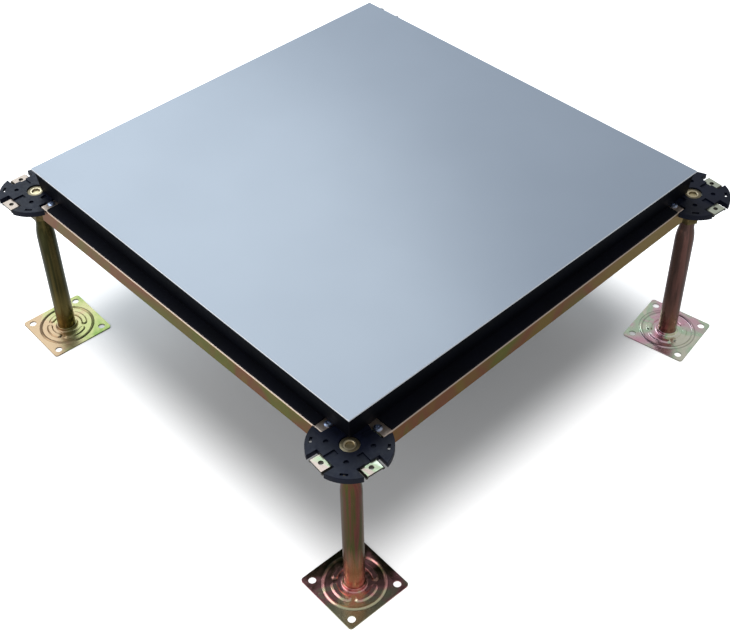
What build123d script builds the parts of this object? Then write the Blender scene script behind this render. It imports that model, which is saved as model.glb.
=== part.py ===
from build123d import *
from math import atan2, cos, degrees, radians, sin, tan
import os

# Raised access floor panel, resting on four adjustable pedestals tied by four stringers.
# Origin: centre of the assembly, on the subfloor. +Z up, X and Y along the panel's sides.

# Driving dimensions, in millimetres
module = 600.0            # pedestal grid, and the panel's side
floor_height = 280.0      # subfloor to the walking surface
# panel
panel_depth = 35.0
top_sheet_t = 1.6
bottom_sheet_t = 0.8
edge_band_t = 1.2
edge_overhang = 2.6       # the top sheet stands out over the edge band
edge_draft = 3.0          # the sides lean in by this much down to the foot
top_edge = 0.3            # chamfer round the walking surface
# stringers
stringer_w = 28.0
stringer_h = 21.0
stringer_t = 1.0
stringer_bend = 1.8
stringer_lip = 4.0
stringer_start = 32.8     # from the pedestal's axis to the stringer's end
gasket_w = 25.0
gasket_t = 2.0
gasket_edge = 0.5
gasket_tuck = 1.5         # the gasket's end reaches in under the disc's rim line
# pedestal head
ear_w = 24.0
ear_tip = 44.0            # from the pedestal's axis
ear_flange_h = 1.5
ear_bevel = 2.0
ear_hub_r = 4.5           # drawn hub under each ear, which holds the thread
ear_hub_h = 3.0
head_plate_t = 2.5
head_centre_r = 27.0
disc_r = 47.2
disc_plate_t = 3.0
disc_skirt_t = 2.2
disc_skirt_h = 4.2        # below the disc's plate
disc_bore_r = 11.6
notch_w = 30.4
notch_inner = 31.0
peg_hole_r = 3.0
peg_hole_depth = 2.2
peg_circle_r = 25.0
rim_slot_l = 9.0
rim_slot_w = 3.2
rim_slot_depth = 2.0
rim_slot_bore_r = 1.6
rim_slot_circle_r = 41.2
pocket_w = 8.0
pocket_depth = 2.0
pocket_start = 17.0       # from the pedestal's axis; it opens into the notch
disc_edge = 0.6
# screws
screw_r = 3.0
screw_clearance = 0.25
screw_place = 37.0        # from the pedestal's axis
screw_length = 12.0
screw_head_r = 5.0
screw_head_h = 1.7
screw_rim_h = 0.7
screw_point = 0.6
recess_w = 1.3
recess_l = 5.2
recess_depth = 1.0
# stud and nut
stud_r = 8.0
stud_length = 102.0
rivet_r = 11.0
rivet_h = 1.6
shoulder_h = 3.0
centre_bore_r = 5.3
centre_bore_depth = 2.5
centre_bore_flare = 0.8
rivet_edge = 0.7
stud_chamfer = 1.2
nut_flats = 24.0
nut_h = 10.0
nut_drop = 37.5           # from the head plate down to the nut's underside
nut_clearance = 0.06
nut_edge = 0.4
nut_cone_angle = 30.0
hex_half_turn = 30.0      # from the middle of a flat to the next corner
# tube
tube_r = 12.5
tube_wall = 1.5
neck_wall = 1.4
neck_clearance = 0.3
neck_length = 12.0
shoulder_length = 24.0
shoulder_steps = 4        # cones that make up the round shoulder
# base plate
base_side = 90.0
base_t = 2.0
base_corner_r = 4.0
base_hole_r = 4.75
base_hole_pitch = 70.0    # between neighbouring holes
bead_r = 36.5             # middle of the round bead
bead_w = 6.5
bead_h = 2.4
emboss_r = 24.0           # middle line of the four kidney bosses
emboss_w = 8.6
emboss_half_angle = 30.0
emboss_h = 2.4
press_slope = 28.0        # lean of every pressed wall, in degrees
collar_h = 7.0
collar_wall = 1.6
collar_clearance = 0.05
collar_blend = 2.2
# each base plate and each head stands turned a little about its own pedestal, as found
base_turn = {"front_right": -2.0, "front_left": -2.0, "back_right": 9.0, "back_left": 0.0}
head_turn = {"front_right": -6.0, "front_left": 0.0, "back_right": -5.0, "back_left": 0.0}

# Places that follow from them
half = module / 2
seat_z = floor_height - panel_depth            # discs and gaskets carry the panel here
disc_under_z = seat_z - disc_plate_t
stringer_top_z = seat_z - gasket_t
ear_top_z = stringer_top_z - stringer_t
head_under_z = ear_top_z - head_plate_t
nut_under_z = head_under_z - nut_drop          # the tube ends here too
neck_bore_r = stud_r + neck_clearance
neck_r = neck_bore_r + neck_wall
neck_foot_z = nut_under_z - neck_length
straight_top_z = neck_foot_z - shoulder_length
stringer_length = module - 2 * stringer_start
gasket_length = module - 2 * (disc_r - gasket_tuck)
corners = {
    "front_left": (-half, -half),
    "front_right": (half, -half),
    "back_right": (half, half),
    "back_left": (-half, half),
}

os.makedirs("parts", exist_ok=True)


def save(piece, name):
    piece.label = name
    export_step(piece, "parts/" + name + ".step")


def save_at_corners(piece, name, turns=None):
    """Writes one copy of a pedestal's piece, made on the Z axis, for each corner."""
    for corner, (x, y) in corners.items():
        turn = turns[corner] if turns else 0.0
        save(Pos(x, y, 0) * Rot(0, 0, turn) * piece, corner + "_" + name)


# Panel: a tapered core between two sheets, with a black band around its sides
top_inset = edge_overhang
foot_inset = edge_overhang + edge_draft
core_top_z = floor_height - top_sheet_t
core_foot_z = seat_z + bottom_sheet_t


def inset_at(z):
    """How far the panel's outer side stands in from the module line at a height."""
    return top_inset + (foot_inset - top_inset) * (core_top_z - z) / (core_top_z - seat_z)


with BuildPart() as top_sheet:
    with BuildSketch(Plane.XY.offset(core_top_z)):
        Rectangle(module, module)
    extrude(amount=top_sheet_t)
    chamfer(top_sheet.edges().group_by(Axis.Z)[-1], top_edge)
save(top_sheet.part, "panel_top_sheet")

with BuildPart() as bottom_sheet:
    side = module - 2 * foot_inset
    with BuildSketch(Plane.XY.offset(seat_z)):
        Rectangle(side, side)
    extrude(amount=bottom_sheet_t)
save(bottom_sheet.part, "panel_bottom_sheet")

with BuildPart() as core:
    for z in (core_foot_z, core_top_z):
        side = module - 2 * (inset_at(z) + edge_band_t)
        with BuildSketch(Plane.XY.offset(z)):
            Rectangle(side, side)
    loft()
save(core.part, "panel_core")

with BuildPart() as edge_band:
    for z in (core_foot_z, core_top_z):
        side = module - 2 * inset_at(z)
        with BuildSketch(Plane.XY.offset(z)):
            Rectangle(side, side)
    loft()
    for z in (core_foot_z, core_top_z):
        side = module - 2 * (inset_at(z) + edge_band_t)
        with BuildSketch(Plane.XY.offset(z)):
            Rectangle(side, side)
    loft(mode=Mode.SUBTRACT)
save(edge_band.part, "panel_edge_band")


# Stringers: a folded channel, open downwards, with a lip turned in along each foot
def channel_outline():
    """Closed line of the folded section in the sketch plane, its top on the axis."""
    w, h, t, lip = stringer_w / 2, stringer_h, stringer_t, stringer_lip
    return Polyline(
        (-w, 0), (w, 0), (w, -h), (w - lip, -h), (w - lip, -h + t), (w - t, -h + t), (w - t, -t),
        (-w + t, -t), (-w + t, -h + t), (-w + lip, -h + t), (-w + lip, -h), (-w, -h), close=True,
    )


with BuildPart() as stringer:
    with BuildSketch(Plane.YZ.offset(-stringer_length / 2)) as section:
        with BuildLine():
            channel_outline()
        make_face()
        top_corners = section.vertices().group_by(Axis.Y)[-1]
        fillet(top_corners, stringer_bend)
        inner_corners = section.vertices().filter_by(
            lambda v: abs(v.Y + stringer_t) < 0.01 and abs(abs(v.X) - stringer_w / 2 + stringer_t) < 0.01
        )
        fillet(inner_corners, stringer_bend - stringer_t)
    extrude(amount=stringer_length)
    screw_reach = stringer_length / 2 - (screw_place - stringer_start)
    with Locations((-screw_reach, 0, 0), (screw_reach, 0, 0)):
        Hole(screw_r + screw_clearance, depth=2 * stringer_t)

with BuildPart() as gasket:
    with BuildSketch():
        Rectangle(gasket_length, gasket_w)
    extrude(amount=gasket_t)
    chamfer(gasket.edges().group_by(Axis.Z)[-1].filter_by(Axis.X), gasket_edge)


def ear_hole(corner, facing):
    """Place of the screw hole in the ear of a corner's head that faces this way."""
    x, y = corners[corner]
    angle = radians(facing + head_turn[corner])
    return x + screw_place * cos(angle), y + screw_place * sin(angle)


# each stringer lies on the two ears that face each other along its side
sides = {
    "front": (("front_left", 0), ("front_right", 180)),
    "right": (("front_right", 90), ("back_right", 270)),
    "back": (("back_right", 180), ("back_left", 0)),
    "left": (("back_left", 270), ("front_left", 90)),
}
screw_spots = []
for side_name, ends in sides.items():
    (x1, y1), (x2, y2) = [ear_hole(corner, facing) for corner, facing in ends]
    screw_spots += [(x1, y1), (x2, y2)]
    turn = degrees(atan2(y2 - y1, x2 - x1))
    place = Pos((x1 + x2) / 2, (y1 + y2) / 2, stringer_top_z) * Rot(0, 0, turn)
    save(place * stringer.part, side_name + "_stringer")
    save(place * gasket.part, side_name + "_gasket")

# Screws: low round head with a cross recess, through the stringer into the head's ear
dome_rise = screw_head_h - screw_rim_h
dome_r = (screw_head_r ** 2 + dome_rise ** 2) / (2 * dome_rise)


def dome_height(radius):
    """Height of the screw's domed head at a distance from its axis."""
    return screw_head_h - dome_r + (dome_r ** 2 - radius ** 2) ** 0.5


with BuildPart() as screw:
    with BuildSketch(Plane.XZ) as profile:
        with BuildLine():
            Polyline(
                (0, -screw_length), (screw_r - screw_point, -screw_length),
                (screw_r, screw_point - screw_length),
                (screw_r, 0), (screw_head_r, 0), (screw_head_r, screw_rim_h),
            )
            ThreePointArc(
                (screw_head_r, screw_rim_h), (screw_head_r / 2, dome_height(screw_head_r / 2)),
                (0, screw_head_h),
            )
            Line((0, screw_head_h), (0, -screw_length))
        make_face()
    revolve(axis=Axis.Z)
    with BuildSketch(Plane.XY.offset(screw_head_h - recess_depth)):
        Rectangle(recess_l, recess_w)
        Rectangle(recess_w, recess_l)
    extrude(amount=2 * recess_depth, mode=Mode.SUBTRACT)

screws = Compound([Pos(x, y, stringer_top_z) * screw.part for x, y in screw_spots])
save(screws, "stringer_screws")

# Head plate: a round steel centre with four ears, their long edges folded down
with BuildPart() as head_plate:
    with BuildSketch(Plane.XY.offset(head_under_z)):
        Circle(head_centre_r)
    extrude(amount=head_plate_t)
    ear_start = ear_w / 2 + head_plate_t
    for turn in (0, 90, 180, 270):
        with BuildSketch(Plane.YZ.rotated((0, 0, turn)).offset(ear_start)):
            with BuildLine():
                w = ear_w / 2
                inner = w - head_plate_t
                shoulder = w - ear_bevel
                bevel_z = ear_top_z - ear_bevel
                foot_z = head_under_z - ear_flange_h
                Polyline(
                    (-shoulder, ear_top_z), (shoulder, ear_top_z), (w, bevel_z), (w, foot_z),
                    (inner, foot_z), (inner, head_under_z), (-inner, head_under_z), (-inner, foot_z),
                    (-w, foot_z), (-w, bevel_z), close=True,
                )
            make_face()
        extrude(amount=ear_tip - ear_start)
    with BuildSketch(Plane.XY.offset(head_under_z - ear_hub_h)):
        with PolarLocations(screw_place, 4):
            Circle(ear_hub_r)
    extrude(amount=ear_hub_h)
    with Locations((0, 0, ear_top_z)):
        Hole(stud_r, depth=2 * head_plate_t)
        with PolarLocations(screw_place, 4):
            Hole(screw_r, depth=2 * (head_plate_t + ear_hub_h))
save_at_corners(head_plate.part, "head_plate", head_turn)

# Stud: turned end riveted through the head plate, threaded shank below
with BuildPart() as stud:
    with BuildSketch(Plane.XZ):
        with BuildLine():
            top = ear_top_z + rivet_h
            foot = top - stud_length
            bore_floor = top - centre_bore_depth
            shoulder_z = head_under_z - shoulder_h
            bore_foot_r = centre_bore_r - centre_bore_flare
            Polyline(
                (0, bore_floor), (bore_foot_r, bore_floor), (centre_bore_r, top), (rivet_r - rivet_edge, top),
                (rivet_r, top - rivet_edge), (rivet_r, ear_top_z), (stud_r, ear_top_z), (stud_r, head_under_z),
                (rivet_r, head_under_z), (rivet_r, shoulder_z), (stud_r, shoulder_z),
                (stud_r, foot + stud_chamfer), (stud_r - stud_chamfer, foot), (0, foot), close=True,
            )
        make_face()
    revolve(axis=Axis.Z)
save_at_corners(stud.part, "stud")

# Locating disc: moulded plate with a skirt, notched over the ears
with BuildPart() as disc:
    with BuildSketch(Plane.XY.offset(disc_under_z)):
        Circle(disc_r)
    extrude(amount=disc_plate_t)
    with BuildSketch(Plane.XY.offset(disc_under_z - disc_skirt_h)):
        Circle(disc_r)
        Circle(disc_r - disc_skirt_t, mode=Mode.SUBTRACT)
    extrude(amount=disc_skirt_h)
    chamfer(disc.edges().group_by(Axis.Z)[-1], disc_edge)
    with BuildSketch(Plane.XY.offset(disc_under_z - disc_skirt_h)):
        with PolarLocations((notch_inner + disc_r + 1) / 2, 4):
            Rectangle(disc_r + 1 - notch_inner, notch_w)
    extrude(amount=disc_plate_t + disc_skirt_h, mode=Mode.SUBTRACT)
    with BuildSketch(Plane.XY.offset(disc_under_z)):
        Circle(disc_bore_r)
        with PolarLocations(rim_slot_circle_r, 4, start_angle=45):
            Circle(rim_slot_bore_r)
    extrude(amount=disc_plate_t, mode=Mode.SUBTRACT)
    with BuildSketch(Plane.XY.offset(seat_z - peg_hole_depth)):
        with PolarLocations(peg_circle_r, 4, start_angle=45):
            Circle(peg_hole_r)
    extrude(amount=peg_hole_depth, mode=Mode.SUBTRACT)
    with BuildSketch(Plane.XY.offset(seat_z - rim_slot_depth)):
        with PolarLocations(rim_slot_circle_r, 4, start_angle=45):
            Rectangle(rim_slot_w, rim_slot_l)
    extrude(amount=rim_slot_depth, mode=Mode.SUBTRACT)
    with BuildSketch(Plane.XY.offset(seat_z - pocket_depth)):
        with PolarLocations((pocket_start + notch_inner) / 2, 4):
            Rectangle(notch_inner - pocket_start, pocket_w)
    extrude(amount=pocket_depth, mode=Mode.SUBTRACT)
save_at_corners(disc.part, "locating_disc", head_turn)

# Lock nut on the stud, seated on the tube's neck
with BuildPart() as nut:
    with BuildSketch(Plane.XY.offset(nut_under_z)):
        RegularPolygon(nut_flats / 2, 6, major_radius=False)
        Circle(stud_r + nut_clearance, mode=Mode.SUBTRACT)
    extrude(amount=nut_h)
    # the upper points of the hexagon are turned off to a cone
    with BuildSketch(Plane.XZ):
        with BuildLine():
            face_z = nut_under_z + nut_h
            cone_r = nut_flats / 2 - nut_edge
            out_r = nut_flats / 2 / cos(radians(hex_half_turn)) + nut_edge
            rise = (out_r - cone_r) * tan(radians(nut_cone_angle))
            Polyline((cone_r, face_z), (out_r, face_z), (out_r, face_z - rise), close=True)
        make_face()
    revolve(axis=Axis.Z, mode=Mode.SUBTRACT)
save_at_corners(nut.part, "lock_nut")

# Tube: plain below, swaged in a round shoulder to a neck that guides the stud
def shoulder_points(straight_r, neck_end_r, steps):
    """Points up the round shoulder, from the straight tube to the foot of the neck."""
    drop = straight_r - neck_end_r
    arc_r = (drop ** 2 + shoulder_length ** 2) / (2 * drop)
    rises = [shoulder_length * i / steps for i in range(steps + 1)]
    return [(straight_r - arc_r + (arc_r ** 2 - rise ** 2) ** 0.5, straight_top_z + rise) for rise in rises]


with BuildPart() as tube:
    inner_r = tube_r - tube_wall
    outside = shoulder_points(tube_r, neck_r, shoulder_steps)
    inside = shoulder_points(inner_r, neck_bore_r, 1)
    with BuildSketch(Plane.XZ):
        with BuildLine():
            Polyline(
                (inner_r, 0), (tube_r, 0), *outside, (neck_r, nut_under_z), (neck_bore_r, nut_under_z),
                *inside[::-1], close=True,
            )
        make_face()
    revolve(axis=Axis.Z)
save_at_corners(tube.part, "tube")

# Base plate: stamped sheet with a round bead, four kidney bosses and a drawn collar
slope_run = bead_h * tan(radians(press_slope))
bore_r = tube_r + collar_clearance
collar_r = bore_r + collar_wall


def bead_section(lift, shrink):
    """One side of the pressed bead, as a trapezoid in the revolve plane."""
    w = bead_w / 2 - shrink
    return Polyline(
        (bead_r - w, lift), (bead_r + w, lift), (bead_r + w - slope_run, lift + bead_h),
        (bead_r - w + slope_run, lift + bead_h), close=True,
    )


with BuildPart() as base_plate:
    with BuildSketch() as outline:
        Rectangle(base_side, base_side)
        fillet(outline.vertices(), base_corner_r)
        with GridLocations(base_hole_pitch, base_hole_pitch, 2, 2):
            Circle(base_hole_r, mode=Mode.SUBTRACT)
    extrude(amount=base_t)
    with BuildSketch(Plane.XZ):
        with BuildLine():
            bead_section(base_t, 0)
        make_face()
        with BuildLine():
            Polyline((bore_r, 0), (collar_r + collar_blend, base_t), (collar_r, base_t + collar_blend),
                     (collar_r, collar_h), (bore_r, collar_h), close=True)
        make_face()
    revolve(axis=Axis.Z)
    with BuildSketch(Plane.XZ):
        with BuildLine():
            bead_section(0, base_t * tan(radians(press_slope) / 2))
        make_face()
    revolve(axis=Axis.Z, mode=Mode.SUBTRACT)
    kidney_arc = CenterArc((0, 0), emboss_r, -emboss_half_angle, 2 * emboss_half_angle, mode=Mode.PRIVATE)
    with BuildSketch(Plane.XY.offset(base_t)):
        with PolarLocations(0, 4):
            SlotArc(kidney_arc, emboss_w)
    extrude(amount=emboss_h, taper=press_slope)
    with BuildSketch():
        with PolarLocations(0, 4):
            SlotArc(kidney_arc, emboss_w - 2 * base_t * tan(radians(press_slope) / 2))
    extrude(amount=emboss_h, taper=press_slope, mode=Mode.SUBTRACT)
    with BuildSketch():
        Circle(bore_r)
    extrude(amount=collar_h, mode=Mode.SUBTRACT)
save_at_corners(base_plate.part, "base_plate", base_turn)
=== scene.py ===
import bpy
import bmesh
import math
from mathutils import Matrix, Vector


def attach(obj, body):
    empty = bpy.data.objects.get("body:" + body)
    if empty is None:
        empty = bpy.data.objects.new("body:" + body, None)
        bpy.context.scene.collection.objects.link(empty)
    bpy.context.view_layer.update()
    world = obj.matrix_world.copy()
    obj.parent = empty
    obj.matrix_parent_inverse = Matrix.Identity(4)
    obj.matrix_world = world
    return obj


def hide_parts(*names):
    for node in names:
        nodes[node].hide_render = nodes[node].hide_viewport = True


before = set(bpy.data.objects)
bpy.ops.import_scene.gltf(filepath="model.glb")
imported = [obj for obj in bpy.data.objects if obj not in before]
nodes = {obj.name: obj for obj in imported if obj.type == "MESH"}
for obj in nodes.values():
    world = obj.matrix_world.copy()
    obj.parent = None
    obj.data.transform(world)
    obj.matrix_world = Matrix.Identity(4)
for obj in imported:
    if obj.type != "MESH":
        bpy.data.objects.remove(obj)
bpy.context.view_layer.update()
mm = 0.001
scene = bpy.context.scene
corners = {  # pedestal axes on the 600 mm grid, in metres
    "front_left": (-0.3, -0.3),
    "front_right": (0.3, -0.3),
    "back_right": (0.3, 0.3),
    "back_left": (-0.3, 0.3),
}
sides = ("front", "right", "back", "left")
print("frame loaded:", len(nodes), "nodes")


# mesh helpers

def finishPiece(name, bm, body, material, replaced=(), smoothAngle=35):
    mesh = bpy.data.meshes.new(name)
    bmesh.ops.recalc_face_normals(bm, faces=bm.faces)
    bm.to_mesh(mesh)
    bm.free()
    mesh.shade_smooth()
    mesh.set_sharp_from_angle(angle=math.radians(smoothAngle))
    piece = bpy.data.objects.new(name, mesh)
    scene.collection.objects.link(piece)
    mesh.materials.append(material)
    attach(piece, body)
    if replaced:
        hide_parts(*replaced)
    return piece


def lathe(points, steps, closed=True):
    # points are (radius, height) in millimetres, turned once round Z
    bm = bmesh.new()
    verts = [bm.verts.new((r * mm, 0, z * mm)) for r, z in points]
    edges = [bm.edges.new(pair) for pair in zip(verts, verts[1:])]
    if closed:
        edges.append(bm.edges.new((verts[-1], verts[0])))
    bmesh.ops.spin(bm, geom=verts + edges, cent=(0, 0, 0), axis=(0, 0, 1), angle=2 * math.pi,
                   steps=steps, use_merge=True, use_duplicate=False)
    bmesh.ops.remove_doubles(bm, verts=bm.verts, dist=1e-6)
    return bm


def arcPoints(centre, radius, startDeg, endDeg, count):
    angles = [math.radians(startDeg + (endDeg - startDeg) * i / count) for i in range(count + 1)]
    return [(centre[0] + radius * math.cos(a), centre[1] + radius * math.sin(a)) for a in angles]


def cylinderCutter(radius, low, high, place=(0, 0), segments=40):
    bm = bmesh.new()
    bmesh.ops.create_cone(bm, cap_ends=True, segments=segments, radius1=radius * mm, radius2=radius * mm,
                          depth=(high - low) * mm)
    bmesh.ops.translate(bm, verts=bm.verts, vec=(place[0] * mm, place[1] * mm, (low + high) / 2 * mm))
    return bm


def blockCutter(sizeX, sizeY, low, high, place=(0, 0), turn=0):
    bm = bmesh.new()
    bmesh.ops.create_cube(bm, size=1)
    bmesh.ops.scale(bm, verts=bm.verts, vec=(sizeX * mm, sizeY * mm, (high - low) * mm))
    bmesh.ops.translate(bm, verts=bm.verts, vec=(place[0] * mm, place[1] * mm, (low + high) / 2 * mm))
    bmesh.ops.rotate(bm, verts=bm.verts, cent=(0, 0, 0), matrix=Matrix.Rotation(math.radians(turn), 3, "Z"))
    return bm


def toObject(bm, name):
    mesh = bpy.data.meshes.new(name)
    bm.to_mesh(mesh)
    bm.free()
    thing = bpy.data.objects.new(name, mesh)
    scene.collection.objects.link(thing)
    return thing


def cutAway(bm, cutters):
    # subtracts each cutter in turn and gives the result back as a bmesh
    body = toObject(bm, "cutBody")
    tools = [toObject(c, "cutTool") for c in cutters]
    for tool in tools:
        cut = body.modifiers.new("cut", "BOOLEAN")
        cut.operation = "DIFFERENCE"
        cut.solver = "EXACT"
        cut.object = tool
    made = bpy.data.meshes.new_from_object(body.evaluated_get(bpy.context.evaluated_depsgraph_get()))
    result = bmesh.new()
    result.from_mesh(made)
    for thing in [body] + tools:
        bpy.data.objects.remove(thing)
    bpy.data.meshes.remove(made)
    bmesh.ops.remove_doubles(result, verts=result.verts, dist=2e-6)
    return result


def softenEdges(piece, width, angle=35, segments=2):
    bevel = piece.modifiers.new("edge", "BEVEL")
    bevel.width = width * mm
    bevel.segments = segments
    bevel.limit_method = "ANGLE"
    bevel.angle_limit = math.radians(angle)
    bevel.harden_normals = True


def moveTo(bm, place, turn=0):
    bmesh.ops.rotate(bm, verts=bm.verts, cent=(0, 0, 0), matrix=Matrix.Rotation(math.radians(turn), 3, "Z"))
    bmesh.ops.translate(bm, verts=bm.verts, vec=(place[0], place[1], 0))


# material helpers

def rgb(red, green, blue):
    # a colour as the eye reads it, 0 to 255, made linear
    def linear(value):
        v = value / 255
        return v / 12.92 if v <= 0.04045 else ((v + 0.055) / 1.055) ** 2.4
    return (linear(red), linear(green), linear(blue), 1)


class Finish:
    # a material and short ways to add and join its nodes
    def __init__(self, name):
        self.material = bpy.data.materials.new(name)
        self.material.use_nodes = True
        self.tree = self.material.node_tree
        self.shader = self.tree.nodes["Principled BSDF"]
        self.coords = self.tree.nodes.new("ShaderNodeTexCoord").outputs["Object"]

    def join(self, source, target):
        self.tree.links.new(source, target)

    def mapping(self, scale=(1, 1, 1), place=(0, 0, 0), turn=(0, 0, 0)):
        node = self.tree.nodes.new("ShaderNodeMapping")
        node.inputs["Scale"].default_value = scale
        node.inputs["Location"].default_value = place
        node.inputs["Rotation"].default_value = [math.radians(t) for t in turn]
        self.join(self.coords, node.inputs["Vector"])
        return node.outputs["Vector"]

    def noise(self, scale, detail=3, rough=0.5, vector=None, distortion=0):
        node = self.tree.nodes.new("ShaderNodeTexNoise")
        node.inputs["Scale"].default_value = scale
        node.inputs["Detail"].default_value = detail
        node.inputs["Roughness"].default_value = rough
        node.inputs["Distortion"].default_value = distortion
        self.join(vector or self.coords, node.inputs["Vector"])
        return node.outputs["Fac"]

    def ramp(self, factor, stops):
        node = self.tree.nodes.new("ShaderNodeValToRGB")
        self.join(factor, node.inputs["Fac"])
        bar = node.color_ramp
        while len(bar.elements) < len(stops):
            bar.elements.new(0.5)
        for element, (place, colour) in zip(bar.elements, stops):
            element.position = place
            element.color = colour
        return node.outputs["Color"]

    def remap(self, value, low, high, toLow, toHigh):
        node = self.tree.nodes.new("ShaderNodeMapRange")
        self.join(value, node.inputs["Value"])
        for key, number in (("From Min", low), ("From Max", high), ("To Min", toLow), ("To Max", toHigh)):
            node.inputs[key].default_value = number
        return node.outputs["Result"]

    def mix(self, factor, first, second, kind="MIX"):
        node = self.tree.nodes.new("ShaderNodeMix")
        node.data_type = "RGBA"
        node.blend_type = kind
        for source, socket in ((factor, node.inputs[0]), (first, node.inputs[6]), (second, node.inputs[7])):
            if isinstance(source, (float, int, tuple)):
                socket.default_value = source
            else:
                self.join(source, socket)
        return node.outputs[2]

    def axisOf(self, vector, axis):
        node = self.tree.nodes.new("ShaderNodeSeparateXYZ")
        self.join(vector, node.inputs[0])
        return node.outputs[axis]

    def slope(self, value, rise):
        # adds a steady rise along X and Y, from a start value
        node = self.tree.nodes.new("ShaderNodeVectorMath")
        node.operation = "DOT_PRODUCT"
        node.inputs[1].default_value = (rise[0], rise[1], 0)
        self.join(self.coords, node.inputs[0])
        total = self.tree.nodes.new("ShaderNodeMath")
        total.operation = "ADD"
        self.join(node.outputs["Value"], total.inputs[0])
        total.inputs[1].default_value = rise[2]
        both = self.tree.nodes.new("ShaderNodeMath")
        both.operation = "ADD"
        self.join(total.outputs[0], both.inputs[0])
        self.join(value, both.inputs[1])
        return both.outputs[0]

    def fromAxis(self):
        # distance from the nearest pedestal's axis
        vector = self.coords
        for kind, by in (("ABSOLUTE", None), ("MULTIPLY", (1, 1, 0)), ("SUBTRACT", (0.3, 0.3, 0)), ("LENGTH", None)):
            node = self.tree.nodes.new("ShaderNodeVectorMath")
            node.operation = kind
            self.join(vector, node.inputs[0])
            if by:
                node.inputs[1].default_value = by
            vector = node.outputs["Value" if kind == "LENGTH" else "Vector"]
        return vector

    def upward(self):
        # 1 on faces that look straight up, 0 on upright ones
        node = self.tree.nodes.new("ShaderNodeNewGeometry")
        return self.axisOf(node.outputs["Normal"], "Z")

    def bump(self, height, strength, distance):
        node = self.tree.nodes.new("ShaderNodeBump")
        node.inputs["Strength"].default_value = strength
        node.inputs["Distance"].default_value = distance
        self.join(height, node.inputs["Height"])
        self.join(node.outputs["Normal"], self.shader.inputs["Normal"])

    def setValues(self, **values):
        for key, number in values.items():
            self.shader.inputs[key.replace("_", " ")].default_value = number


def dress(nodeName, material):
    slots = nodes[nodeName].material_slots
    for slot in slots:
        slot.material = material
    if not slots:
        nodes[nodeName].data.materials.append(material)


# finishes

laminate = {"face": (140, 152, 168), "edge": (240, 244, 250), "roughness": 0.3}


def makeLaminate():
    f = Finish("topLaminate")
    cloud = f.noise(3.0, 4, 0.6)
    face = f.mix(f.remap(cloud, 0.3, 0.7, 0, 1), rgb(*[c - 3 for c in laminate["face"]]),
                 rgb(*[c + 3 for c in laminate["face"]]))
    # painted highlight: the laminate's side faces are coloured near white by the edge colour
    edgeHighlightMask = f.remap(f.upward(), 0.8, 0.98, 1, 0)
    f.join(f.mix(edgeHighlightMask, face, rgb(*laminate["edge"])), f.shader.inputs["Base Color"])
    f.join(f.remap(f.noise(9, 1, 0.5), 0.3, 0.7, laminate["roughness"] - 0.02, laminate["roughness"] + 0.03),
           f.shader.inputs["Roughness"])
    f.setValues(Specular_IOR_Level=1.0, Coat_Weight=0.5, Coat_Roughness=0.3)
    return f.material


blackParts = {
    "edgeBand": {"colour": (4, 6, 14), "roughness": 0.55, "shine": 0.1},
    "gasketRubber": {"colour": (4, 6, 17), "roughness": 0.65, "shine": 0.15},
    "mouldedBlack": {"colour": (12, 17, 34), "roughness": 0.42, "shine": 0.2},
}


def makeBlack(name):
    style = blackParts[name]
    f = Finish(name)
    cloud = f.noise(25, 4, 0.6)
    darker = rgb(*[c * 0.75 for c in style["colour"]])
    lighter = rgb(*[c * 1.25 for c in style["colour"]])
    f.join(f.mix(f.remap(cloud, 0.3, 0.7, 0, 1), darker, lighter), f.shader.inputs["Base Color"])
    f.join(f.remap(f.noise(160, 3, 0.6), 0.3, 0.7, style["roughness"] - 0.06, style["roughness"] + 0.1),
           f.shader.inputs["Roughness"])
    f.bump(f.noise(700, 3, 0.6), 0.3, 0.00006)
    f.setValues(Specular_IOR_Level=style["shine"])
    return f.material
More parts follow.
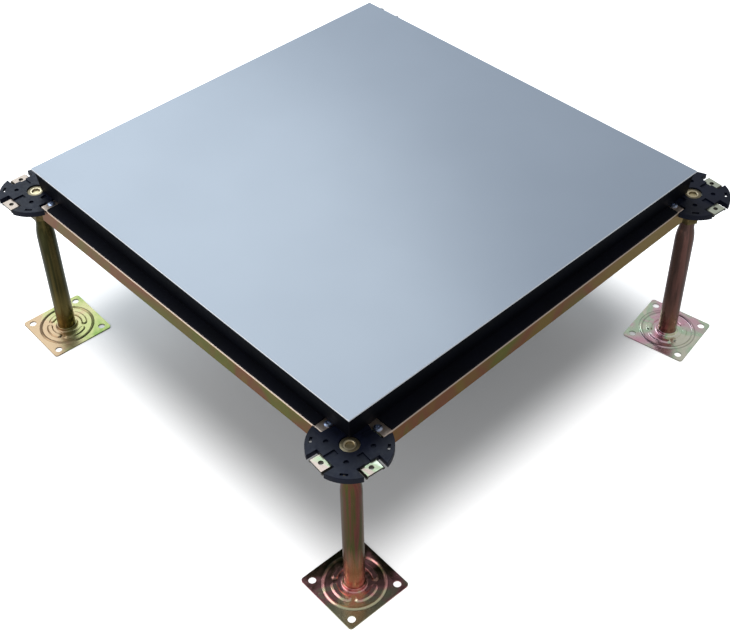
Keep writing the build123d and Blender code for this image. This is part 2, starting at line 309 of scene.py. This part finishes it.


# yellow passivated zinc: each piece has its own drift between gold, green, rose and brown; some pieces also carry
# painted shade, highlights and reflections
zincLooks = {
    # each tube's foot colour is a painted reflection of the bright floor near its foot
    "tube_front_right": {"colours": [(78, 74, 44), (136, 78, 70), (94, 98, 52), (178, 108, 92)], "scale": (60, 60, 3),
                         "foot": (222, 168, 140)},
    "tube_front_left": {"colours": [(50, 52, 34), (76, 74, 46), (60, 58, 34), (98, 86, 50)], "scale": (60, 60, 3),
                        "foot": (146, 128, 76)},
    "tube_back_right": {"colours": [(86, 64, 60), (116, 86, 76), (98, 78, 72), (136, 98, 90)], "scale": (60, 60, 3),
                        "foot": (158, 112, 98)},
    "base_front_right": {"colours": [(56, 54, 36), (128, 100, 84), (240, 168, 168), (216, 210, 172)],
                         "scale": (26, 26, 26), "drift": (2.6, -2.6, -1.56), "creaseShade": 0.35},
    "base_front_left": {"colours": [(170, 144, 114), (166, 160, 116), (154, 156, 104), (114, 134, 72)],
                        "scale": (16, 16, 16), "drift": (2.2, 2.2, 1.32)},
    "base_back_right": {"colours": [(240, 186, 202), (236, 206, 210), (208, 230, 200), (240, 238, 218)],
                        "scale": (22, 22, 22), "drift": (1.2, -1.2, 0.0), "creaseShade": 0.5},
    "base_back_left": {"colours": [(166, 142, 108), (176, 160, 122), (160, 152, 108), (132, 140, 88)],
                       "scale": (16, 16, 16), "drift": (2.2, 2.2, 0.0)},
    "ears": {"colours": [(166, 151, 138), (172, 154, 144), (152, 165, 134), (208, 212, 193)], "scale": (30, 30, 30),
             "drift": (3.0, 3.0, 0.0), "sideShade": (84, 80, 72)},
    # the stud's rings are painted shade and highlight: dark over the head's outer ring and at the bore's foot, bright
    # at the bore's rim
    "stud": {"colours": [(208, 194, 160), (220, 208, 178), (200, 186, 152), (224, 212, 184)], "scale": (60, 60, 60),
             "rings": [(0.0, (198, 182, 142)), (4.2, (184, 168, 128)), (4.6, (84, 72, 50)), (5.3, (216, 202, 170)),
                       (6.8, (206, 190, 156)), (7.4, (70, 60, 42)), (8.2, (98, 86, 60)), (11.0, (80, 70, 48))]},
    "nut": {"colours": [(96, 88, 54), (118, 104, 66), (90, 78, 50), (128, 108, 70)], "scale": (60, 60, 60)},
    "stringer": {"colours": [(136, 110, 48), (140, 88, 58), (116, 116, 44), (156, 116, 70)], "scale": (7, 7, 7)},
}


def makeZinc(name, roughness=0.3, paintedTopHighlight=None, streak=(1, 1, 1), metallic=1.0, patchy=0.09):
    look = zincLooks[name]
    f = Finish("yellowZinc_" + name)
    drift = f.noise(1.0, 3, 0.55, f.mapping(scale=look["scale"]), distortion=0.6)
    # on the base plates this slope also paints shade: the front plates darken towards the side under the panel and
    # lighten towards their outer side
    if "drift" in look:
        drift = f.slope(drift, look["drift"])
    spots = [0.36, 0.45, 0.55, 0.64]
    colour = f.ramp(drift, [(p, rgb(*c)) for p, c in zip(spots, look["colours"])])
    mottle = f.noise(1.0, 4, 0.65, f.mapping(scale=[180 * s for s in streak]))
    colour = f.mix(patchy * 1.3, colour, f.ramp(mottle, [(0.3, (0.35, 0.35, 0.35, 1)), (0.7, (1, 1, 1, 1))]), "MULTIPLY")
    # painted reflection: the lowest part of each tube is coloured towards its lighter foot colour
    if "foot" in look:
        colour = f.mix(f.remap(f.axisOf(f.coords, "Z"), 0.015, 0.08, 0.85, 0), colour, rgb(*look["foot"]))
    # painted shade and highlight: radial rings of dark and bright colour on the stud head
    if "rings" in look:
        reach = f.remap(f.fromAxis(), 0, 0.012, 0, 1)
        colour = f.mix(0.8, colour, f.ramp(reach, [(r / 12, rgb(*c)) for r, c in look["rings"]]))
    if "creaseShade" in look:  # painted shade: dark lines along both feet of the pressed bead
        reach = f.remap(f.fromAxis(), 0, 0.05, 0, 1)
        dark, clear = (0.1, 0.1, 0.1, 1), (1, 1, 1, 1)
        creaseShadeLines = f.ramp(reach, [(0.655, clear), (0.685, dark), (0.71, clear), (0.75, clear), (0.775, dark), (0.8, clear)])
        colour = f.mix(look["creaseShade"], colour, creaseShadeLines, "MULTIPLY")
    if "sideShade" in look:  # painted shade: bends and cut sides are coloured darker than the flat top
        colour = f.mix(f.remap(f.upward(), 0.9, 0.99, 1, 0), colour, rgb(*look["sideShade"]))
    # painted highlight: faces that look upward are coloured lighter
    if paintedTopHighlight:
        colour = f.mix(f.remap(f.upward(), 0.25, 0.8, 0, 1), colour, rgb(*paintedTopHighlight))
    f.join(colour, f.shader.inputs["Base Color"])
    f.join(f.remap(mottle, 0.3, 0.7, roughness - patchy / 3, roughness + patchy * 2 / 3), f.shader.inputs["Roughness"])
    f.setValues(Metallic=metallic)
    return f.material


def makeBrightZinc():
    f = Finish("brightZinc")
    mottle = f.noise(300, 3, 0.6)
    f.join(f.ramp(mottle, [(0.3, rgb(120, 135, 165)), (0.7, rgb(196, 206, 226))]), f.shader.inputs["Base Color"])
    f.join(f.remap(mottle, 0.3, 0.7, 0.2, 0.36), f.shader.inputs["Roughness"])
    f.setValues(Metallic=1.0)
    return f.material


def makeSheetSteel():
    f = Finish("galvanisedSheet")
    spangle = f.noise(60, 4, 0.7, distortion=1.5)
    sheet = f.ramp(spangle, [(0.35, rgb(128, 132, 136)), (0.65, rgb(176, 180, 184))])
    edge = f.remap(f.upward(), -0.95, -0.6, 0, 1)  # painted shade: the sheet's upright rim is coloured near black, so it shows no highlight
    f.join(f.mix(edge, sheet, rgb(14, 16, 22)), f.shader.inputs["Base Color"])
    f.join(f.remap(spangle, 0.3, 0.7, 0.32, 0.5), f.shader.inputs["Roughness"])
    f.setValues(Metallic=1.0)
    return f.material


def makeCoreBoard():
    f = Finish("coreBoard")
    chips = f.noise(420, 4, 0.7)
    f.join(f.ramp(chips, [(0.35, rgb(140, 112, 78)), (0.65, rgb(196, 170, 128))]), f.shader.inputs["Base Color"])
    f.setValues(Roughness=0.85)
    f.bump(chips, 0.4, 0.0003)
    return f.material


laminateTop = makeLaminate()
edgeBand = makeBlack("edgeBand")
gasketRubber = makeBlack("gasketRubber")
mouldedBlack = makeBlack("mouldedBlack")
stringerZinc = makeZinc("stringer", 0.38, paintedTopHighlight=(206, 188, 174), streak=(0.2, 0.2, 1), patchy=0.03)
earZinc = makeZinc("ears", 0.34)
studZinc = makeZinc("stud", 0.34, metallic=0.85)
nutZinc = makeZinc("nut", 0.3)
brightZinc = makeBrightZinc()
sheetSteel = makeSheetSteel()
coreBoard = makeCoreBoard()
tubeZinc = {c: makeZinc("tube_" + c, 0.22, streak=(1, 1, 0.3)) for c in corners if c != "back_left"}
tubeZinc["back_left"] = tubeZinc["front_left"]
baseZinc = {c: makeZinc("base_" + c, 0.34 if "left" in c else 0.24, patchy=0.06) for c in corners}

dress("panel_top_sheet", laminateTop)
dress("panel_core", coreBoard)
dress("panel_edge_band", edgeBand)
dress("panel_bottom_sheet", sheetSteel)
for side in sides:
    dress(side + "_stringer", stringerZinc)
    dress(side + "_gasket", gasketRubber)
dress("stringer_screws", brightZinc)
for corner in corners:
    dress(corner + "_head_plate", earZinc)
    dress(corner + "_lock_nut", nutZinc)
    for piece in ("locating_disc", "stud", "tube", "base_plate"):
        dress(corner + "_" + piece, mouldedBlack if piece == "locating_disc" else studZinc)
print("finishes made")


# tubes: straight below, swaged shoulder and neck above

tubeShape = {"outer": 12.5, "wall": 1.5, "neckOuter": 9.7, "neckBore": 8.3, "straightTop": 166, "neckFoot": 190,
             "top": 202, "lip": 0.4, "steps": 96}


def makeTube(corner):
    t = tubeShape
    rise = t["neckFoot"] - t["straightTop"]

    def shoulder(outer, neck, count=14):
        drop = outer - neck
        radius = (drop ** 2 + rise ** 2) / (2 * drop)
        heights = [rise * i / count for i in range(count + 1)]
        return [(outer - radius + math.sqrt(radius ** 2 - h ** 2), t["straightTop"] + h) for h in heights]

    inner = t["outer"] - t["wall"]
    up = [(t["outer"] - t["lip"], 0), (t["outer"], t["lip"])]
    up += [(t["outer"], z) for z in range(20, t["straightTop"], 20)] + shoulder(t["outer"], t["neckOuter"])
    up += [(t["neckOuter"], t["top"] - t["lip"]), (t["neckOuter"] - t["lip"], t["top"])]
    down = [(t["neckBore"], t["top"])] + shoulder(inner, t["neckBore"])[::-1] + [(inner, 0)]
    bm = lathe(up + down, t["steps"])
    moveTo(bm, corners[corner])
    finishPiece(corner + "_tubeFinish", bm, corner + "_leg", tubeZinc[corner], [corner + "_tube"])


for corner in corners:
    makeTube(corner)
print("tubes made")


# studs: rivet head with a turning centre, shoulder, and a rolled thread

studShape = {"radius": 8.0, "root": 6.9, "pitch": 2.0, "head": 11.0, "headTop": 243.6, "earTop": 242.0,
             "earUnder": 239.5, "shoulder": 3.0, "foot": 141.6, "bore": 5.3, "boreFoot": 4.5, "boreDepth": 2.5,
             "steps": 32}


def makeStud(corner):
    s = studShape
    threadTop = s["earUnder"] - s["shoulder"]
    turns = int((threadTop - s["foot"] - 3) / s["pitch"])
    threadFoot = threadTop - turns * s["pitch"] - 1.0
    bm = bmesh.new()
    outline = [(s["root"], -0.95), (s["radius"], -0.15), (s["radius"], 0.15), (s["root"], 0.95)]
    verts = [bm.verts.new((r * mm, 0, (threadFoot + 1.0 + z) * mm)) for r, z in outline]
    edges = [bm.edges.new(pair) for pair in zip(verts, verts[1:])]
    rise = turns * s["pitch"] * mm
    bmesh.ops.spin(bm, geom=verts + edges, cent=(0, 0, 0), axis=(0, 0, 1), angle=2 * math.pi * turns,
                   steps=s["steps"] * turns, dvec=(0, 0, rise / (s["steps"] * turns)), use_duplicate=False)
    core = lathe([
        (0, s["headTop"] - s["boreDepth"]), (s["boreFoot"], s["headTop"] - s["boreDepth"]),
        (s["bore"] - 0.1, s["headTop"] - 0.3), (s["bore"] + 0.3, s["headTop"]), (s["head"] - 0.7, s["headTop"]),
        (s["head"] - 0.2, s["headTop"] - 0.2), (s["head"], s["headTop"] - 0.7), (s["head"], s["earTop"]),
        (s["radius"], s["earTop"]), (s["radius"], s["earUnder"]), (s["head"], s["earUnder"]),
        (s["head"], threadTop), (s["root"] + 0.05, threadTop), (s["root"] + 0.05, s["foot"] + 1.2),
        (s["root"] - 1.2, s["foot"]), (0, s["foot"]),
    ], 64, closed=False)
    coreMesh = bpy.data.meshes.new("studCore")
    core.to_mesh(coreMesh)
    core.free()
    bm.from_mesh(coreMesh)
    bpy.data.meshes.remove(coreMesh)
    moveTo(bm, corners[corner])
    finishPiece(corner + "_studFinish", bm, "deck", studZinc, [corner + "_stud"])


for corner in corners:
    makeStud(corner)
print("studs made")


# locating discs: moulded plate and skirt, notched over the ears

discShape = {"radius": 47.2, "top": 245.0, "plate": 3.0, "skirtWall": 2.2, "skirtDepth": 4.2, "bore": 11.6,
             "notchWidth": 30.4, "notchInner": 31.0, "pegRadius": 3.0, "pegDepth": 2.2, "pegPlace": 25.0,
             "slotLong": 9.0, "slotWide": 3.2, "slotDepth": 2.0, "slotBore": 1.6, "slotPlace": 41.2,
             "pocketWidth": 8.0, "pocketDepth": 2.0, "pocketStart": 17.0, "notchWall": 1.6, "earPass": 24.8, "edge": 0.45,
             "steps": 160}
headTurn = {"front_right": -6, "front_left": 0, "back_right": -5, "back_left": 0}


def makeDisc(corner):
    d = discShape
    under = d["top"] - d["plate"]
    foot = under - d["skirtDepth"]
    bm = lathe([(0, d["top"]), (d["radius"] - d["edge"], d["top"]), (d["radius"], d["top"] - d["edge"]),
                (d["radius"], foot), (0, foot)], d["steps"], closed=False)
    bmesh.ops.recalc_face_normals(bm, faces=bm.faces)
    notchLong = d["radius"] + 2 - d["notchInner"]
    # hollow underneath, but for a wall round each notch, open where the ear passes
    wallLong = notchLong + d["notchWall"]
    inside = d["radius"] - d["skirtWall"]
    hollow = lathe([(0, foot - 1), (inside, foot - 1), (inside, under), (0, under)], d["steps"], closed=False)
    bmesh.ops.recalc_face_normals(hollow, faces=hollow.faces)
    hollow = cutAway(hollow, [blockCutter(wallLong, d["notchWidth"] + 2 * d["notchWall"], foot - 2, under + 1,
                                          (d["notchInner"] - d["notchWall"] + wallLong / 2, 0), 90 * q)
                              for q in range(4)])
    cutters = [hollow, cylinderCutter(d["bore"], foot - 1, d["top"] + 1, segments=72)]
    pocketLong = d["notchInner"] + 1 - d["pocketStart"]
    above = d["top"] + 1
    for quarter in range(4):
        turn = 90 * quarter
        cutters.append(blockCutter(notchLong, d["notchWidth"], foot - 1, above,
                                   (d["notchInner"] + notchLong / 2, 0), turn))
        cutters.append(blockCutter(d["notchWall"] + 1, d["earPass"], foot - 1, under,
                                   (d["notchInner"] - d["notchWall"] / 2, 0), turn))
        cutters.append(blockCutter(pocketLong, d["pocketWidth"], d["top"] - d["pocketDepth"], above,
                                   (d["pocketStart"] + pocketLong / 2, 0), turn))
        cutters.append(blockCutter(d["slotWide"], d["slotLong"], d["top"] - d["slotDepth"], above,
                                   (d["slotPlace"], 0), turn + 45))
        peg = cylinderCutter(d["pegRadius"], d["top"] - d["pegDepth"], above, (d["pegPlace"], 0), 32)
        slotBore = cylinderCutter(d["slotBore"], foot - 1, above, (d["slotPlace"], 0), 24)
        for cutter in (peg, slotBore):
            moveTo(cutter, (0, 0), turn + 45)
            cutters.append(cutter)
    bm = cutAway(bm, cutters)
    moveTo(bm, corners[corner], headTurn[corner])
    piece = finishPiece(corner + "_discFinish", bm, "deck", mouldedBlack, [corner + "_locating_disc"])
    softenEdges(piece, 0.25)


for corner in corners:
    makeDisc(corner)
print("discs made")


# base plates: square flange with a pressed bead, four kidney bosses and a drawn collar

plateShape = {"side": 90.0, "thick": 2.0, "cornerRadius": 4.0, "holeRadius": 4.75, "holePlace": 35.0,
              "beadMiddle": 36.4, "beadWidth": 4.4, "beadHeight": 1.6, "rimRadius": 40.5, "bossMiddle": 24.0,
              "bossWidth": 8.6, "bossHalfAngle": 30.0, "bossHeight": 2.0, "slope": 2.0, "boreRadius": 12.55,
              "collarRadius": 14.15, "collarTop": 7.0, "blend": 2.2, "steps": 144}
plateTurn = {"front_right": -2, "front_left": -2, "back_right": 9, "back_left": 0}


def easeStep(value):
    v = min(1, max(0, value))
    return v * v * (3 - 2 * v)


def pressedHeight(x, y):
    # how far the sheet is pressed up at a point, in millimetres
    p = plateShape
    radius = math.hypot(x, y)
    beadEdge = p["beadWidth"] / 2 - abs(radius - p["beadMiddle"])
    height = p["beadHeight"] * easeStep(beadEdge / (p["beadWidth"] / 2))
    angle = math.degrees(math.atan2(y, x))
    offAxis = (angle + 45) % 90 - 45
    reach = max(-p["bossHalfAngle"], min(p["bossHalfAngle"], offAxis))
    nearest = math.radians(angle - offAxis + reach)
    away = math.hypot(x - p["bossMiddle"] * math.cos(nearest), y - p["bossMiddle"] * math.sin(nearest))
    return height + p["bossHeight"] * easeStep((p["bossWidth"] / 2 - away) / p["slope"])


def makeBasePlate(corner):
    p = plateShape
    rings = 40
    collarFoot = p["collarRadius"] + p["blend"]
    radii = [p["rimRadius"] + (collarFoot - p["rimRadius"]) * i / rings for i in range(rings + 1)]
    top = [(r, p["thick"]) for r in radii]
    blend = arcPoints((collarFoot, p["thick"] + p["blend"]), p["blend"], 270, 180, 6)[1:]
    collar = [(p["collarRadius"], p["collarTop"] - 0.4), (p["collarRadius"] - 0.3, p["collarTop"]),
              (p["boreRadius"] + 0.3, p["collarTop"]), (p["boreRadius"], p["collarTop"] - 0.4),
              (p["boreRadius"], 0)]
    under = [(r, 0) for r in radii[::-1]]
    bm = lathe(top + blend + collar + under, p["steps"], closed=False)
    for v in bm.verts:
        x, y, z = [c / mm for c in v.co]
        if math.hypot(x, y) > collarFoot and z < p["thick"] + 0.01:
            v.co.z += pressedHeight(x, y) * mm
    flange = bmesh.new()
    bmesh.ops.create_grid(flange, x_segments=1, y_segments=1, size=p["side"] / 2 * mm)
    bmesh.ops.bevel(flange, geom=flange.verts[:], offset=p["cornerRadius"] * mm, offset_type="OFFSET", segments=8,
                    profile=0.5, affect="VERTICES", material=-1)
    made = bmesh.ops.extrude_face_region(flange, geom=flange.faces[:])
    lifted = [g for g in made["geom"] if isinstance(g, bmesh.types.BMVert)]
    bmesh.ops.translate(flange, verts=lifted, vec=(0, 0, p["thick"] * mm))
    bmesh.ops.recalc_face_normals(flange, faces=flange.faces)
    h = p["holePlace"]
    cutters = [cylinderCutter(p["holeRadius"], -1, p["thick"] + 1, (x, y)) for x in (-h, h) for y in (-h, h)]
    middle = lathe([(0, -1), (p["rimRadius"], -1), (p["rimRadius"], p["thick"] + 1), (0, p["thick"] + 1)],
                   p["steps"], closed=False)
    bmesh.ops.recalc_face_normals(middle, faces=middle.faces)
    flange = cutAway(flange, cutters + [middle])
    innerWall = [f for f in flange.faces if abs(f.normal.z) < 0.5
                 and all(v.co.xy.length < (p["rimRadius"] + 0.05) * mm for v in f.verts)]
    bmesh.ops.delete(flange, geom=innerWall, context="FACES")
    flangeMesh = bpy.data.meshes.new("flange")
    flange.to_mesh(flangeMesh)
    flange.free()
    bm.from_mesh(flangeMesh)
    bpy.data.meshes.remove(flangeMesh)
    bmesh.ops.remove_doubles(bm, verts=bm.verts, dist=2e-5)
    moveTo(bm, corners[corner], plateTurn[corner])
    piece = finishPiece(corner + "_basePlateFinish", bm, corner + "_leg", baseZinc[corner], [corner + "_base_plate"])
    softenEdges(piece, 0.25, angle=50)


for corner in corners:
    makeBasePlate(corner)
print("base plates made")


# camera, found from the panel's corners in the photograph

photo = {"width": 730, "height": 641, "focalPixels": 1265.0, "axisX": 365.0, "axisY": 250.0}
cameraPlace = Vector((0.94977, -0.87078, 1.24885))
cameraRight = Vector((0.68726, 0.72624, -0.01605))
cameraDown = Vector((0.46411, -0.45598, -0.75939))


def makeCamera():
    data = bpy.data.cameras.new("camera")
    data.sensor_width = 36
    data.lens = photo["focalPixels"] / photo["width"] * 36
    data.shift_x = (photo["width"] / 2 - photo["axisX"]) / photo["width"]
    data.shift_y = -(photo["height"] / 2 - photo["axisY"]) / photo["width"]
    right = cameraRight.normalized()
    up = (-cameraDown - right * right.dot(-cameraDown)).normalized()
    back = right.cross(up)
    camera = bpy.data.objects.new("camera", data)
    camera.matrix_world = Matrix.Translation(cameraPlace) @ Matrix((right, up, back)).transposed().to_4x4()
    scene.collection.objects.link(camera)
    scene.camera = camera


# studio: pale floor that keeps the shadow, white surround and soft lamps

studio = {"floor": 0.74, "floorLift": 0.0, "world": 0.5, "floorSize": 30.0, "shadowReach": (0.235, 0.37),
          "shadowPower": 12.0}
lamps = {  # place, aim, size, watts, colour
    "sideBox": ((-1.25, 0.35, 1.9), (0, 0, 0.25), 2.0, 27, (0.84, 0.96, 1.06)),
    "frontFill": ((-1.0, -1.9, 1.05), (0, 0, 0.2), 1.9, 15, (1.0, 0.99, 0.98)),
}


def makeStudio():
    bm = bmesh.new()
    bmesh.ops.create_grid(bm, x_segments=1, y_segments=1, size=studio["floorSize"] / 2)
    floor = toObject(bm, "floor")
    material = bpy.data.materials.new("floorWhite")
    material.use_nodes = True
    tree = material.node_tree
    shader = tree.nodes["Principled BSDF"]
    shader.inputs["Base Color"].default_value = (studio["floor"],) * 3 + (1,)
    shader.inputs["Roughness"].default_value = 0.9
    shader.inputs["Specular IOR Level"].default_value = 0.0
    # the lift rises from a little under the panel to full white away from it, for the camera alone: a painted shadow
    # edge, its square shape and soft fade set by this mask
    lift = tree.nodes.new("ShaderNodeEmission")
    path = tree.nodes.new("ShaderNodeLightPath")
    place = tree.nodes.new("ShaderNodeTexCoord")
    parts = tree.nodes.new("ShaderNodeSeparateXYZ")
    tree.links.new(place.outputs["Object"], parts.inputs[0])
    power = studio["shadowPower"]

    def reckon(operation, first, second):
        node = tree.nodes.new("ShaderNodeMath")
        node.operation = operation
        for value, socket in ((first, node.inputs[0]), (second, node.inputs[1])):
            if isinstance(value, (int, float)):
                socket.default_value = value
            else:
                tree.links.new(value, socket)
        return node.outputs[0]

    sideways = reckon("MAXIMUM", parts.outputs["X"], reckon("MULTIPLY", parts.outputs["X"], -0.9))
    endways = reckon("MAXIMUM", reckon("MULTIPLY", parts.outputs["Y"], 0.92), reckon("MULTIPLY", parts.outputs["Y"], -1))
    total = reckon("ADD", reckon("POWER", sideways, power), reckon("POWER", endways, power))
    distance = reckon("POWER", total, 1 / power)
    rise = tree.nodes.new("ShaderNodeMapRange")
    rise.interpolation_type = "SMOOTHSTEP"
    for key, number in (("From Min", studio["shadowReach"][0]), ("From Max", studio["shadowReach"][1]),
                        ("To Min", studio["floorLift"]), ("To Max", 1.0)):
        rise.inputs[key].default_value = number
    tree.links.new(distance, rise.inputs["Value"])
    strength = reckon("MULTIPLY", path.outputs["Is Camera Ray"], rise.outputs["Result"])
    tree.links.new(strength, lift.inputs["Strength"])
    both = tree.nodes.new("ShaderNodeAddShader")
    tree.links.new(shader.outputs[0], both.inputs[0])
    tree.links.new(lift.outputs[0], both.inputs[1])
    tree.links.new(both.outputs[0], tree.nodes["Material Output"].inputs["Surface"])
    floor.data.materials.append(material)
    world = bpy.data.worlds.new("surround")
    scene.world = world
    world.use_nodes = True
    sky = world.node_tree
    light = sky.nodes["Background"]
    light.inputs["Color"].default_value = (0.97, 0.985, 1.0, 1)
    light.inputs["Strength"].default_value = studio["world"]
    seen = sky.nodes.new("ShaderNodeBackground")
    seen.inputs["Color"].default_value = (1, 1, 1, 1)
    seen.inputs["Strength"].default_value = 1.0
    pathSky = sky.nodes.new("ShaderNodeLightPath")
    choose = sky.nodes.new("ShaderNodeMixShader")
    sky.links.new(pathSky.outputs["Is Camera Ray"], choose.inputs["Fac"])
    sky.links.new(light.outputs[0], choose.inputs[1])
    sky.links.new(seen.outputs[0], choose.inputs[2])
    sky.links.new(choose.outputs[0], sky.nodes["World Output"].inputs["Surface"])
    for name, (place, aim, size, watts, colour) in lamps.items():
        data = bpy.data.lights.new(name, "AREA")
        data.shape = "DISK"
        data.size = size
        data.energy = watts
        data.color = colour
        lamp = bpy.data.objects.new(name, data)
        lamp.matrix_world = Matrix.Translation(place) @ (
            Vector(aim) - Vector(place)).to_track_quat("-Z", "Y").to_matrix().to_4x4()
        scene.collection.objects.link(lamp)


makeCamera()
makeStudio()
scene.view_settings.view_transform = "Standard"
print("camera and studio made")
